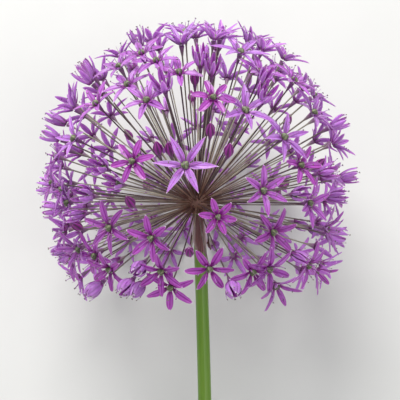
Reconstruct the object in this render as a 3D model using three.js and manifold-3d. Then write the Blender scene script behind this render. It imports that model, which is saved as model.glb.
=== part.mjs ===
// Allium flower head, cut with a length of its scape (the leafless stalk) and laid on its back.
//
// The plant is built in its own frame: the origin is the middle of the receptacle, where all the
// pedicels (flower stalks) meet, +Y runs up the scape and through the top of the head, and +Z is
// the side that faces away from the surface it lies on. One turn about X lays it down: the cut
// end of the scape and the tepals on the underside of the head touch the surface z = 0.
// Lengths are in millimetres, angles in degrees.

import * as THREE from 'three';
import { ConvexGeometry } from 'three/addons/geometries/ConvexGeometry.js';
import { mergeVertices } from 'three/addons/utils/BufferGeometryUtils.js';
import Module from 'manifold-3d';

const wasm = await Module();
wasm.setup();

// ---------------------------------------------------------------- driving dimensions

const LEAN = 21.2;                     // slope of the scape when the plant lies down
const RECEPTACLE_X = 0.04;             // puts the middle of the plant's box at x = 0, y = 0
const RECEPTACLE_Y = 27.21;

const SCAPE = {
  length: 130,
  topRadius: 2.3,
  cutRadius: 2.65,
  drift: 4.0,                          // how far the cut end lies to the right of the head's axis
  driftPower: 0.6,                     // 1 for a straight scape, less for one bent near the head
  top: -3.9,
  rows: 10,
  sides: 20,
};

const RECEPTACLE = { radius: 4.2, neckRadius: 2.6, foot: -3.6, neckSides: 10 };

const SPATHE = {
  top: -4.4,                           // upper rim of the collar
  collar: 2.4,                         // unsplit part
  valve: 11.5,                         // length of the longest valve below the collar
  valves: 3,
  uneven: 0.14,                        // how much the valves differ in length
  longestAt: 35,                       // the side of the longest valve
  wall: 0.65,
  clearance: 0.35,                     // to the scape inside it
  flare: 1.3,                          // how far the tips stand off the scape
  sides: 36,
  rows: 6,
};

const HEAD = {
  pedicels: 210,                       // sites of the spiral over the whole head
  lowest: -35,                         // direction of the lowest pedicels, from level
  highest: 89,                         // and of the most upright
  levelReach: 49.3,                    // receptacle to floret along a level pedicel
  topReach: 12.2,                      // how much further the upright pedicels reach
  reachSpread: 2.4,
  wander: 7,                           // how far a site strays from the spiral
  crown: 0.3,                          // share of the girth above which strays grow no more
  keepClear: 9,                        // a landmark floret takes the sites nearer than this
  frontUp: 11,                         // the middle of the front, where only landmarks stand
  frontAngle: 45,                      // and how far round it they have the head to themselves
  seed: 20253,
};

const PEDICEL = { radius: 0.52, rootRadius: 0.33 };

const OPEN = { cupLeast: 12, cupMost: 44, tepalLeast: 7.6, tepalMost: 9.4, nod: 0.3 };
const FUNNEL = { cupLeast: 64, cupMost: 80, tepalLeast: 7.0, tepalMost: 8.6, nod: 0.3 };
const BUD = {
  radius: 1.5,
  length: 5.8,
  reach: 0.9,
  nod: 0.3,
  rise: 0.8,                           // how much a level bud turns up, and an upright one not
  rings: [[0.72, 0.12], [1, 0.45], [0.62, 0.8]],   // shares of its radius and its length
};
const SHARE = { buds: 0.1, funnels: 0.2 };

const TEPAL = {
  count: 6,
  width: 2.4,
  beside: 0.55,                        // most half width, as a share of the distance to the axis
  widestAt: 0.42,
  baseRadius: 1.1,
  drop: 0.15,
};
const OVARY = { radius: 1.0, foot: 0.45, top: 2.1 };
const HUB = { notchRadius: 1.2, bottom: -1.05 };
const PLAIN = { top: 1.3, notchAlong: 1.4 };
const LANDMARK = {
  cupLeast: 5,
  cupMost: 22,
  rimAngle: 66,                        // further from the front they open like all the others
  nodShare: 0.3,
};
const FINEST_EDGE = 0.02;              // shorter edges, where florets cross, are closed up

// Florets on the front of the head, each with its own place: the pedicel's direction to the
// right and up as seen from the front, the roll of the first tepal, and the tepals' length.
const LANDMARK_STARS = [
  [-4, 19, 57, 10.0], [8, 1, 50, 5.4], [-24, 20, 14, 7.0], [20, 37, 24, 9.4], [36, 28, 4, 9.4],
  [-17, -7, 39, 7.4], [-34, -4, 43, 8.4], [-47, -17, 58, 8.4], [25, 10, 28, 7.8],
  [31, -6, 13, 8.2], [5, -19, 3, 7.6], [-21, 40, 30, 8.0], [7, 41, 49, 6.6], [-9, 52, 45, 7.6],
  [-35, 47, 29, 7.8], [-59, 27, 10, 9.4], [-48, 39, 30, 8.0], [66, 14, 20, 8.6],
  [66, -8, 50, 9.0], [48, 4, 15, 8.4], [60, 36, 40, 9.2], [42, 18, 50, 7.4], [-62, 3, 35, 9.0],
  [-11, -27, 25, 8.2], [23, -21, 10, 7.8], [30, -20, 40, 8.2], [38, 53, 20, 7.8],
  [-23, 56, 5, 7.6], [-15, 76, 0, 9.6], [31, 62, 30, 9.6], [-82, 19, 0, 8.4],
  [-82, -11, 20, 8.4], [-83, 38, 40, 8.8], [-68, -21, 10, 8.4], [53, -21, 30, 8.4],
  [82, 24, 45, 8.4], [-37, 60, 15, 8.0], [60, 49, 10, 8.4], [45, 79, 50, 8.2], [-50, 55, 0, 8.0],
  [-64, 8, 25, 8.4], [63, 65, 10, 8.2], [84, 43, 40, 8.4], [83, 59, 25, 8.2],
  [-14, -20, 30, 7.6],
];
const LANDMARK_FUNNELS = [
  [-35, 17], [-14, 44], [8, 52], [2, 54], [30, 41], [32, 47], [-28, 12], [-44, 7], [39, 8],
  [-22, -18], [-24, -27], [14, -25], [43, -16], [-29, -26], [-50, -30], [-83, 51], [-63, 47],
  [-78, 70], [80, -12], [73, 30],
];
const LANDMARK_BUDS = [
  [6, 32], [13, 24], [-16, 25], [-11, 25], [-3, -16], [-28, 4], [-1, 53],
];

// ---------------------------------------------------------------- small helpers

const GOLDEN_ANGLE = 180 * (3 - Math.sqrt(5));
const radians = THREE.MathUtils.degToRad;

// A linear congruential generator: whole numbers below 2^32, the same on every machine.
function seededRandom(seed) {
  let state = seed;
  return () => {
    state = (state * 1664525 + 1013904223) % 4294967296;
    return state / 4294967296;
  };
}

const mix = (a, b, share) => a + (b - a) * share;

// The direction of a pedicel that points so far right and so far up, seen from the front.
function direction(right, up) {
  const level = Math.cos(radians(up));
  return new THREE.Vector3(
    Math.sin(radians(right)) * level,
    Math.sin(radians(up)),
    Math.cos(radians(right)) * level,
  );
}

// The angle between a direction and the middle of the front.
const frontAngleOf = (outward) => (
  outward.angleTo(direction(0, HEAD.frontUp)) * THREE.MathUtils.RAD2DEG
);

// Height above the surface of a point of the plant's frame, once the plant lies down.
const restHeight = SCAPE.length * Math.sin(radians(LEAN)) + SCAPE.cutRadius * Math.cos(radians(LEAN));
const surfaceNormal = new THREE.Vector3(0, Math.sin(radians(LEAN)), Math.cos(radians(LEAN)));
const heightOf = (point) => restHeight + point.dot(surfaceNormal);

// ---------------------------------------------------------------- where the florets are

// A site is a floret, funnel or bud: its direction, place, facing, size and opening.
function makeSite(kind, right, up, roll, tepal, cup, draws) {
  const outward = direction(right, up);
  const levelSide = new THREE.Vector3(outward.z, 0, -outward.x).normalize();
  const upSide = new THREE.Vector3().crossVectors(outward, levelSide);
  const nod = { star: OPEN.nod, funnel: FUNNEL.nod, bud: BUD.nod }[kind] * draws.nodShare;
  const rise = kind === 'bud' ? BUD.rise * (1 - outward.y) : 0;
  const facing = outward.clone()
    .addScaledVector(levelSide, nod * (draws.nodRight - 0.5))
    .addScaledVector(upSide, nod * (draws.nodUp - 0.5) + rise)
    .normalize();
  const across = levelSide.addScaledVector(facing, -levelSide.dot(facing)).normalize();
  const away = new THREE.Vector3().crossVectors(facing, across);
  const fullReach = HEAD.levelReach + HEAD.topReach * Math.max(0, outward.y)
    + HEAD.reachSpread * (draws.reach - 0.5);
  const reach = kind === 'bud' ? fullReach * BUD.reach : fullReach;
  const hub = outward.clone().multiplyScalar(reach);
  const site = { kind, outward, facing, across, away, hub, roll, tepal, cup };
  liftClear(site);
  return site;
}

// A floret that would reach below the surface is pushed up until its lowest tip rests on it.
function liftClear(site) {
  const ends = site.kind === 'bud' ? [pointOf(site, 0, 0, BUD.length)] : tepalTips(site);
  const lowest = Math.min(...ends.map(heightOf));
  if (lowest < 0) {
    site.hub.addScaledVector(surfaceNormal, -lowest);
  }
}

// A point by its distance from the floret's axis, its angle round it and its height along it.
function pointOf(site, radius, angle, height) {
  return site.hub.clone()
    .addScaledVector(site.across, radius * Math.cos(radians(angle)))
    .addScaledVector(site.away, radius * Math.sin(radians(angle)))
    .addScaledVector(site.facing, height);
}

const tepalAngle = (site, k) => site.roll + (360 / TEPAL.count) * k;

function tepalPoint(site, k, along, sideways, drop) {
  const out = TEPAL.baseRadius + along * Math.cos(radians(site.cup));
  const height = along * Math.sin(radians(site.cup)) - drop;
  const turn = Math.atan2(sideways, out) * THREE.MathUtils.RAD2DEG;
  return pointOf(site, Math.hypot(out, sideways), tepalAngle(site, k) + turn, height);
}

function tepalTips(site) {
  return Array.from({ length: TEPAL.count }, (_, k) => tepalPoint(site, k, site.tepal, 0, 0));
}

// The draws for one site, always in this order.
function siteDraws(random, nodShare) {
  const [tepal, cup, roll, reach, nodRight, nodUp] = Array.from({ length: 6 }, random);
  return { tepal, cup, roll, reach, nodRight, nodUp, nodShare };
}

// A funnel or bud, or a star that no landmark describes, with its size, opening and roll drawn.
function drawnSite(kind, right, up, draws) {
  const form = kind === 'funnel' ? FUNNEL : OPEN;
  const tepal = mix(form.tepalLeast, form.tepalMost, draws.tepal);
  const cup = mix(form.cupLeast, form.cupMost, draws.cup);
  return makeSite(kind, right, up, (360 / TEPAL.count) * draws.roll, tepal, cup, draws);
}

function landmarkSites(random) {
  const sites = [];
  for (const [right, up, roll, tepal] of LANDMARK_STARS) {
    const draws = siteDraws(random, LANDMARK.nodShare);
    const rim = frontAngleOf(direction(right, up)) > LANDMARK.rimAngle;
    const form = rim ? OPEN : LANDMARK;
    const cup = mix(form.cupLeast, form.cupMost, draws.cup);
    sites.push(makeSite('star', right, up, roll, tepal, cup, draws));
  }
  for (const [right, up] of LANDMARK_FUNNELS) {
    sites.push(drawnSite('funnel', right, up, siteDraws(random, LANDMARK.nodShare)));
  }
  for (const [right, up] of LANDMARK_BUDS) {
    sites.push(drawnSite('bud', right, up, siteDraws(random, LANDMARK.nodShare)));
  }
  return sites;
}

// The other florets follow a golden-angle spiral from the top of the head to the lowest pedicels.
function spiralSites(random, landmarks) {
  const sites = [];
  const clearCosine = Math.cos(radians(HEAD.keepClear));
  for (let i = 0; i < HEAD.pedicels; i += 1) {
    const share = (i + 0.5) / HEAD.pedicels;
    const level = Math.asin(mix(1, Math.sin(radians(HEAD.lowest)), share)) * THREE.MathUtils.RAD2DEG;
    const up = Math.min(HEAD.highest, level + HEAD.wander * (random() - 0.5));
    const girth = Math.max(HEAD.crown, Math.cos(radians(up)));
    const stray = HEAD.wander * (random() - 0.5) / girth;
    const right = i * GOLDEN_ANGLE + stray;
    const pick = random();
    const kind = pick < SHARE.buds ? 'bud' : pick < SHARE.buds + SHARE.funnels ? 'funnel' : 'star';
    const draws = siteDraws(random, 1);
    const outward = direction(right, up);
    const clear = landmarks.every((site) => site.outward.dot(outward) < clearCosine);
    if (clear && frontAngleOf(outward) > HEAD.frontAngle) {
      sites.push(drawnSite(kind, right, up, draws));
    }
  }
  return sites;
}

function allSites() {
  const random = seededRandom(HEAD.seed);
  const landmarks = landmarkSites(random);
  for (const site of landmarks) {
    site.full = true;
  }
  return [...landmarks, ...spiralSites(random, landmarks)];
}

// ---------------------------------------------------------------- closed meshes of the florets

// Three corners round the floret's axis; corner j lies between tepals 2j and 2j + 1.
function threeCorners(site, centre, radius) {
  return [0, 1, 2].map((j) => centre.clone()
    .addScaledVector(site.across, radius * Math.cos(radians(site.roll + 30 + 120 * j)))
    .addScaledVector(site.away, radius * Math.sin(radians(site.roll + 30 + 120 * j))));
}

// The corners of a pedicel's root, which lie on the receptacle's ball.
function rootCorners(site) {
  const root = site.outward.clone().multiplyScalar(RECEPTACLE.radius);
  return threeCorners(site, root, PEDICEL.rootRadius)
    .map((corner) => corner.setLength(RECEPTACLE.radius));
}

// The two ends of a pedicel's section: at its floret, and on the receptacle.
function pedicelCorners(site, height) {
  return [...threeCorners(site, pointOf(site, 0, 0, height), PEDICEL.radius), ...rootCorners(site)];
}

// The pedicel is a three-sided taper from the receptacle (root) to the floret (g).
function pedicelFaces(g) {
  const root = g + 3;
  const faces = [[root + 2, root + 1, root]];
  for (let j = 0; j < 3; j += 1) {
    const next = (j + 1) % 3;
    faces.push([g + next, g + j, root + j]);
    faces.push([g + next, root + j, root + next]);
  }
  return faces;
}

// A floret with its pedicel: six pointed tepals with a ridge above and a keel below, round a
// small pointed ovary. Tepals 2j and 2j + 1 spring from corner j of the ovary and the pedicel.
function fullShell(site) {
  const count = TEPAL.count;
  const along = site.tepal * TEPAL.widestAt;
  const room = TEPAL.beside * (TEPAL.baseRadius + along * Math.cos(radians(site.cup)));
  const halfWidth = Math.min(TEPAL.width / 2, room);
  const points = [
    pointOf(site, 0, 0, OVARY.top),
    ...threeCorners(site, pointOf(site, 0, 0, OVARY.foot), OVARY.radius),
  ];
  const foot = 1;
  const notch = points.length;
  for (let k = 0; k < count; k += 1) {
    points.push(pointOf(site, HUB.notchRadius, tepalAngle(site, k) - 180 / count, 0));
  }
  const right = points.length;
  const left = right + count;
  const tip = left + count;
  for (const side of [-1, 1]) {
    for (let k = 0; k < count; k += 1) {
      points.push(tepalPoint(site, k, along, side * halfWidth, TEPAL.drop));
    }
  }
  points.push(...tepalTips(site));
  const g = points.length;
  points.push(...pedicelCorners(site, HUB.bottom));

  const faces = pedicelFaces(g);
  for (let j = 0; j < 3; j += 1) {
    faces.push([0, foot + j, foot + (j + 1) % 3]);
  }
  for (let k = 0; k < count; k += 1) {
    const next = (k + 1) % count;
    const j = Math.floor(k / 2);
    for (const [corner, below] of [[foot + j, false], [g + j, true]]) {
      const half = [
        [corner, notch + k, right + k], [corner, right + k, tip + k],
        [corner, tip + k, left + k], [corner, left + k, notch + next],
      ];
      if (k % 2 === 1) {
        half.push([corner, notch + next, corner - j + (j + 1) % 3]);
      }
      faces.push(...(below ? half.map((face) => face.reverse()) : half));
    }
  }
  return { points, faces };
}

// A plainer floret with its pedicel: a star whose six points run straight from notch to tip.
function plainShell(site) {
  const count = TEPAL.count;
  const points = [pointOf(site, 0, 0, PLAIN.top)];
  const notch = points.length;
  for (let k = 0; k < count; k += 1) {
    points.push(tepalPoint(site, k - 0.5, PLAIN.notchAlong, 0, 0));
  }
  const tip = points.length;
  points.push(...tepalTips(site));
  const g = points.length;
  points.push(...pedicelCorners(site, HUB.bottom));

  const faces = pedicelFaces(g);
  for (let k = 0; k < count; k += 1) {
    const next = notch + (k + 1) % count;
    const j = Math.floor(k / 2);
    faces.push([0, notch + k, tip + k], [0, tip + k, next]);
    faces.push([g + j, tip + k, notch + k], [g + j, next, tip + k]);
    if (k % 2 === 1) {
      faces.push([g + j, g + (j + 1) % 3, next]);
    }
  }
  return { points, faces };
}

// A bud with its pedicel: a plump six-sided spindle through three rings and a tip.
function budShell(site) {
  const points = [];
  for (const [radius, height] of BUD.rings) {
    for (let k = 0; k < 6; k += 1) {
      points.push(pointOf(site, BUD.radius * radius, site.roll + 60 * k, BUD.length * height));
    }
  }
  const tip = points.length;
  points.push(pointOf(site, 0, 0, BUD.length));
  const g = points.length;
  points.push(...pedicelCorners(site, 0));

  const faces = pedicelFaces(g);
  for (let k = 0; k < 6; k += 1) {
    const next = (k + 1) % 6;
    const corner = g + Math.floor(k / 2);
    faces.push([corner, next, k]);
    if (k % 2 === 1) {
      faces.push([next, corner, g + (Math.floor(k / 2) + 1) % 3]);
    }
    for (const low of [0, 6]) {
      faces.push([low + k, low + next, low + 6 + next]);
      faces.push([low + k, low + 6 + next, low + 6 + k]);
    }
    faces.push([12 + k, 12 + next, tip]);
  }
  return { points, faces };
}

// ---------------------------------------------------------------- solids and geometries

function solidFrom(points, faces) {
  const mesh = new wasm.Mesh({
    numProp: 3,
    vertProperties: new Float32Array(points.flatMap((point) => point.toArray())),
    triVerts: new Uint32Array(faces.flat()),
  });
  return new wasm.Manifold(mesh);
}

function solidFromGeometry(geometry) {
  geometry.deleteAttribute('normal');
  geometry.deleteAttribute('uv');
  const merged = mergeVertices(geometry);
  return new wasm.Manifold(new wasm.Mesh({
    numProp: 3,
    vertProperties: new Float32Array(merged.attributes.position.array),
    triVerts: new Uint32Array(merged.index.array),
  }));
}

function geometryFrom(solid) {
  const mesh = solid.getMesh();
  const geometry = new THREE.BufferGeometry();
  geometry.setAttribute('position', new THREE.BufferAttribute(mesh.vertProperties, 3));
  geometry.setIndex(new THREE.BufferAttribute(mesh.triVerts, 1));
  geometry.computeVertexNormals();
  return geometry;
}

// The receptacle: a ball with a short neck, and with a facet for the root of every pedicel.
function receptacleSolid(sites) {
  const { neckRadius, foot, neckSides } = RECEPTACLE;
  const corners = sites.flatMap(rootCorners);
  for (let i = 0; i < neckSides; i += 1) {
    const angle = radians((360 / neckSides) * i);
    corners.push(new THREE.Vector3(neckRadius * Math.sin(angle), foot, neckRadius * Math.cos(angle)));
  }
  return solidFromGeometry(new ConvexGeometry(corners));
}

function shellOf(site) {
  if (site.kind === 'bud') {
    return budShell(site);
  }
  return site.full ? fullShell(site) : plainShell(site);
}

// The whole head as one body. A hollow that the crossing pedicels seal is filled, and a loose
// scrap dropped, by keeping the largest surface alone. Slivers where they cross are closed up.
function umbelGeometry() {
  const sites = allSites();
  let head = receptacleSolid(sites);
  for (const site of sites) {
    const { points, faces } = shellOf(site);
    head = head.add(solidFrom(points, faces));
  }
  const surfaces = head.decompose();
  surfaces.sort((a, b) => b.volume() - a.volume());
  return geometryFrom(surfaces[0].simplify(FINEST_EDGE));
}

// How far the scape's middle lies to the right at a depth below the receptacle.
const driftAt = (depth) => SCAPE.drift * (depth / SCAPE.length) ** SCAPE.driftPower;

// The scape tapers towards the head and leans a little to one side. Its top end is flat.
function scapeGeometry() {
  const { length, topRadius, cutRadius, top, rows, sides } = SCAPE;
  const outline = [new THREE.Vector2(0, -length)];
  for (let i = 0; i <= rows; i += 1) {
    const share = i / rows;
    outline.push(new THREE.Vector2(mix(cutRadius, topRadius, share), mix(-length, top, share)));
  }
  outline.push(new THREE.Vector2(0, top));
  const geometry = new THREE.LatheGeometry(outline, sides);
  const place = geometry.attributes.position;
  for (let i = 0; i < place.count; i += 1) {
    place.setX(i, place.getX(i) + driftAt(-place.getY(i)));
  }
  geometry.computeVertexNormals();
  return geometry;
}

// How far a valve reaches at an angle round the scape: full in its middle, nothing between two.
function valveLength(angle) {
  const lobe = Math.abs(Math.cos(radians(angle * SPATHE.valves / 2)));
  const uneven = 1 - SPATHE.uneven * (1 - Math.cos(radians(angle - SPATHE.longestAt)));
  return SPATHE.valve * uneven * Math.sqrt(lobe);
}

// The spathe, the papery bract that wrapped the young head: a collar round the scape that is
// split into valves, which hang down and stand off a little.
function spatheGeometry() {
  const { top, collar, valve, wall, clearance, flare, sides, rows } = SPATHE;
  const inner = SCAPE.topRadius + clearance;
  const points = [];
  for (const skin of [0, wall]) {
    for (let row = 0; row <= rows; row += 1) {
      for (let i = 0; i < sides; i += 1) {
        const angle = (360 / sides) * i;
        const down = (collar + valveLength(angle)) * row / rows;
        const off = flare * (down / (collar + valve)) ** 2;
        const radius = inner + off + skin;
        const x = radius * Math.sin(radians(angle)) + driftAt(down - top);
        const z = radius * Math.cos(radians(angle));
        points.push(new THREE.Vector3(x, top - down, z));
      }
    }
  }
  const faces = [];
  const quad = (a, b, c, d) => faces.push([a, b, c], [a, c, d]);
  const outerSkin = sides * (rows + 1);
  for (let i = 0; i < sides; i += 1) {
    const next = (i + 1) % sides;
    for (let row = 0; row < rows; row += 1) {
      const a = row * sides;
      const b = a + sides;
      quad(a + i, a + next, b + next, b + i);
      quad(outerSkin + a + next, outerSkin + a + i, outerSkin + b + i, outerSkin + b + next);
    }
    const end = rows * sides;
    quad(outerSkin + i, outerSkin + next, next, i);
    quad(end + i, end + next, outerSkin + end + next, outerSkin + end + i);
  }
  return geometryFrom(solidFrom(points, faces));
}

// ---------------------------------------------------------------- the plant

function namedMesh(name, geometry, color, roughness) {
  const material = new THREE.MeshStandardMaterial({ color, roughness, metalness: 0 });
  const mesh = new THREE.Mesh(geometry, material);
  mesh.name = name;
  return mesh;
}

const plant = new THREE.Group();
plant.add(namedMesh('scape', scapeGeometry(), '#6f8f3c', 0.5));
plant.add(namedMesh('spathe', spatheGeometry(), '#8d6a72', 0.8));
plant.add(namedMesh('umbel', umbelGeometry(), '#9c62ab', 0.6));
plant.rotation.x = radians(LEAN);
plant.position.set(RECEPTACLE_X, RECEPTACLE_Y, restHeight);

const alliumHead = new THREE.Group();
alliumHead.add(plant);

export default alliumHead;
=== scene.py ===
"""The looks of an allium flower head that lies as cut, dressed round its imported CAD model.

The plant is worked out in its own frame, in millimetres: the origin is the middle of the
receptacle, where all the pedicels meet, +Y runs up the scape and through the top of the head,
and +Z is the side that faces away from the surface it lies on. lay() takes points to the
frame's metres. Florets stand at the sites of the CAD model's own rule, so every tepal, bud and
pedicel here lies where its plainer solid does.
"""

import math

import bpy
import mathutils
import numpy as np
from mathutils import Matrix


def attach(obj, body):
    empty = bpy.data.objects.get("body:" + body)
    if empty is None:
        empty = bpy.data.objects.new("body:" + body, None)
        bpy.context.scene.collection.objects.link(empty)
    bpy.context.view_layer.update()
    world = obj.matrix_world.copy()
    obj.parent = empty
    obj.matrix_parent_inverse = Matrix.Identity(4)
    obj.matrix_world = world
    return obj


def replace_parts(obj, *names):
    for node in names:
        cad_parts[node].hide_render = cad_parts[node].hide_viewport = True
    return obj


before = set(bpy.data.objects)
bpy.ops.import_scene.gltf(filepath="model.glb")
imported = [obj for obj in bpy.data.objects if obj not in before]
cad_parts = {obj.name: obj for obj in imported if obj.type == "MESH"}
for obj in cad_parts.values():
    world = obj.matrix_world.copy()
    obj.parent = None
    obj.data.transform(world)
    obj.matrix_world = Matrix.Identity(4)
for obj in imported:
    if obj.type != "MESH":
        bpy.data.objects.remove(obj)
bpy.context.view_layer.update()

# -------------------------------- the CAD model's dimensions (mm, degrees)

LEAN = 21.2                          # slope of the scape when the plant lies down
RECEPTACLE_X = 0.04                  # puts the middle of the CAD box at x = 0, y = 0
RECEPTACLE_Y = 27.21

SCAPE_LENGTH = 130.0
SCAPE_TOP = -3.9
SCAPE_TOP_RADIUS = 2.3
SCAPE_CUT_RADIUS = 2.65
SCAPE_DRIFT = 4.0                    # how far the cut end lies to the right of the head's axis
SCAPE_DRIFT_POWER = 0.6              # 1 for a straight scape, less for one bent near the head

RECEPTACLE_RADIUS = 4.2
RECEPTACLE_NECK_RADIUS = 2.6
RECEPTACLE_FOOT = -3.6

SPATHE_TOP = -4.4                    # upper rim of the collar
SPATHE_COLLAR = 2.4                  # unsplit part
SPATHE_VALVE = 11.5                  # length of the longest valve below the collar
SPATHE_VALVES = 3
SPATHE_UNEVEN = 0.14                 # how much the valves differ in length
SPATHE_LONGEST_AT = 35.0             # the side of the longest valve
SPATHE_CLEARANCE = 0.35              # to the scape inside it
SPATHE_FLARE = 1.3                   # how far the tips stand off the scape

SPIRAL_SITES = 210                   # sites of the spiral over the whole head
LOWEST = -35.0                       # direction of the lowest pedicels, from level
HIGHEST = 89.0                       # and of the most upright
LEVEL_REACH = 49.3                   # receptacle to floret along a level pedicel
TOP_REACH = 12.2                     # how much further the upright pedicels reach
REACH_SPREAD = 2.4
WANDER = 7.0                         # how far a site strays from the spiral
CROWN = 0.3                          # least girth, near the top, that a stray is spread over
KEEP_CLEAR = 9.0                     # a landmark floret takes the sites nearer than this
FRONT_UP = 11.0                      # the middle of the front, where only landmarks stand
FRONT_ANGLE = 45.0                   # and how far round it they have the head to themselves
SEED = 20253

HUB_BOTTOM = -1.05                   # where a pedicel ends, below the middle of its floret

OPEN = {"cup": (12, 44), "tepal": (7.6, 9.4), "nod": 0.3}
FUNNEL = {"cup": (64, 80), "tepal": (7.0, 8.6), "nod": 0.3}
BUD = {"radius": 1.5, "length": 5.8, "reach": 0.9, "nod": 0.3, "rise": 0.8}
BUD_SHARE = 0.1
FUNNEL_SHARE = 0.2
LANDMARK_CUP = (5, 22)
RIM_ANGLE = 66.0                     # landmark stars further round open like all the others
LANDMARK_NOD_SHARE = 0.3

TEPALS = 6
TEPAL_WIDTH = 2.4
TEPAL_WIDEST_AT = 0.42
TEPAL_BASE_RADIUS = 1.1

# Florets on the front of the head, each with its own place: the pedicel's direction to the
# right and up as seen from the front, the roll of the first tepal, and the tepals' length.
LANDMARK_STARS = [
    (-4, 19, 57, 10.0), (8, 1, 50, 5.4), (-24, 20, 14, 7.0), (20, 37, 24, 9.4), (36, 28, 4, 9.4),
    (-17, -7, 39, 7.4), (-34, -4, 43, 8.4), (-47, -17, 58, 8.4), (25, 10, 28, 7.8),
    (31, -6, 13, 8.2), (5, -19, 3, 7.6), (-21, 40, 30, 8.0), (7, 41, 49, 6.6), (-9, 52, 45, 7.6),
    (-35, 47, 29, 7.8), (-59, 27, 10, 9.4), (-48, 39, 30, 8.0), (66, 14, 20, 8.6),
    (66, -8, 50, 9.0), (48, 4, 15, 8.4), (60, 36, 40, 9.2), (42, 18, 50, 7.4), (-62, 3, 35, 9.0),
    (-11, -27, 25, 8.2), (23, -21, 10, 7.8), (30, -20, 40, 8.2), (38, 53, 20, 7.8),
    (-23, 56, 5, 7.6), (-15, 76, 0, 9.6), (31, 62, 30, 9.6), (-82, 19, 0, 8.4),
    (-82, -11, 20, 8.4), (-83, 38, 40, 8.8), (-68, -21, 10, 8.4), (53, -21, 30, 8.4),
    (82, 24, 45, 8.4), (-37, 60, 15, 8.0), (60, 49, 10, 8.4), (45, 79, 50, 8.2),
    (-50, 55, 0, 8.0), (-64, 8, 25, 8.4), (63, 65, 10, 8.2), (84, 43, 40, 8.4),
    (83, 59, 25, 8.2), (-14, -20, 30, 7.6),
]
LANDMARK_FUNNELS = [
    (-35, 17), (-14, 44), (8, 52), (2, 54), (30, 41), (32, 47), (-28, 12), (-44, 7), (39, 8),
    (-22, -18), (-24, -27), (14, -25), (43, -16), (-29, -26), (-50, -30), (-83, 51), (-63, 47),
    (-78, 70), (80, -12), (73, 30),
]
LANDMARK_BUDS = [
    (6, 32), (13, 24), (-16, 25), (-11, 25), (-3, -16), (-28, 4), (-1, 53),
]

# -------------------------------- the finer pieces (mm, degrees)

MM = 0.001
LEAST_HEIGHT = 0.04                  # nothing of the finer pieces lies lower on the surface

# Rings along each piece, and points round each ring.
FINENESS = {
    "filament": (8, 6), "anther": (6, 7), "ovary": (9, 24), "style": (6, 6), "bud": (22, 48),
    "pedicel": (16, 8), "receptacle": (20, 40), "scape": (90, 72), "spathe": (24, 144),
}

AGE_TEPAL = (7.4, 10.4)              # tepal length of the youngest and of the oldest stars
AGE_WITH_HEIGHT = 0.45               # how much older the stars at the top of the head are
AGE_VARIES = 0.35
AGE_FUNNEL = (0.15, 0.6)
CLOSING = (0.15, 0.8)                # how far the tips of a funnel's tepals draw together
CLOSING_SHARE = {"level": 0.5, "upright": -1.0}  # of that range, kept between 0 and 1
CLOSING_VARIES = 0.6
CLOSING_POWER = 2.5                  # the higher, the nearer the tips it begins

# Half breadths along a tepal, as shares of its greatest one.
TEPAL_OUTLINES = {
    "young": [
        (0, 0.34), (0.1, 0.5), (0.25, 0.84), (0.45, 1.0), (0.68, 0.94), (0.84, 0.7), (0.95, 0.34),
        (1, 0.06),
    ],
    "old": [
        (0, 0.36), (0.08, 0.56), (0.2, 0.9), (0.36, 1.0), (0.56, 0.88), (0.76, 0.56), (0.92, 0.2),
        (1, 0.03),
    ],
}
TEPAL_ROWS = 14
TEPAL_ROW_POWER = 0.9                # below 1, the rows lie closer towards the tip
TEPAL_ACROSS = (-1, -0.62, -0.22, 0, 0.22, 0.62, 1)
TEPAL_THICKNESS = 0.26
TEPAL_THINS = 0.45                   # share of the thickness that is lost by the tip
TEPAL_VARIES = {"length": 0.09, "width": 0.18, "cup": 11, "twist": 52, "bend": 0.1, "arch": 1}
TEPAL_WHORLS = (0.96, 1.05)          # breadth of the inner and of the outer three
TEPAL_BREADTH = (1.0, 1.04)          # and of a young and of an old one
TEPAL_NARROWS = (10, 45, 0.8)        # cup where narrowing begins and ends, and the share left
TEPAL_ROOM = {"star": 1.0, "funnel": 0.52}       # most half breadth, in distances to the axis
TEPAL_ARCH = {"star": 0.055, "funnel": -0.06}    # in its lengths, below 0 for a hollow back
TEPAL_ARCH_POWER = 0.8               # below 1, the arch is highest nearer the foot
TEPAL_ROOT = {"out": 0.8, "high": 0.1}
TEPAL_CHANNEL = {"rise": (0.3, 0.55), "power": 1.6}   # how far its edges rise, in half breadths
TEPAL_HOOD = {"from": 0.8, "rise": 1.2}          # how much deeper the channel is at the tip
TEPAL_WAVE = {"high": 0.08, "count": 2.2}        # in half breadths, and along the tepal
TEPAL_GROOVE = {"deep": 0.09, "wide": 0.15}
TEPAL_KEEL = {"deep": 0.13, "wide": 0.2, "fades": 0.7}

FILAMENT_LENGTH = {"star": (0.46, 0.68), "funnel": (0.7, 1.0)}   # in tepal lengths
FILAMENT_RISE = {"star": (58, 44), "funnel": (80, 82)}           # of a young and of an old one
FILAMENT_RADIUS = 0.09
FILAMENT_ROOT = {"out": 1.05, "high": 0.25, "wide": 0.42, "deep": 0.18}
FILAMENT_TAPER = {"wide": 1.6, "deep": 2}        # the higher, the sooner its root is gone
FILAMENT_BOW = 0.1                   # outwards, in its own lengths
FILAMENT_VARIES = {"rise": 12, "turn": 8}
ANTHER_LENGTH = 0.8
ANTHER_RADIUS = 0.2
ANTHER_FLATNESS = 0.8
ANTHER_BLUNT = 0.02                  # the square of its girth at the ends
ANTHER_VARIES = 0.8                  # how much it tilts

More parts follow.
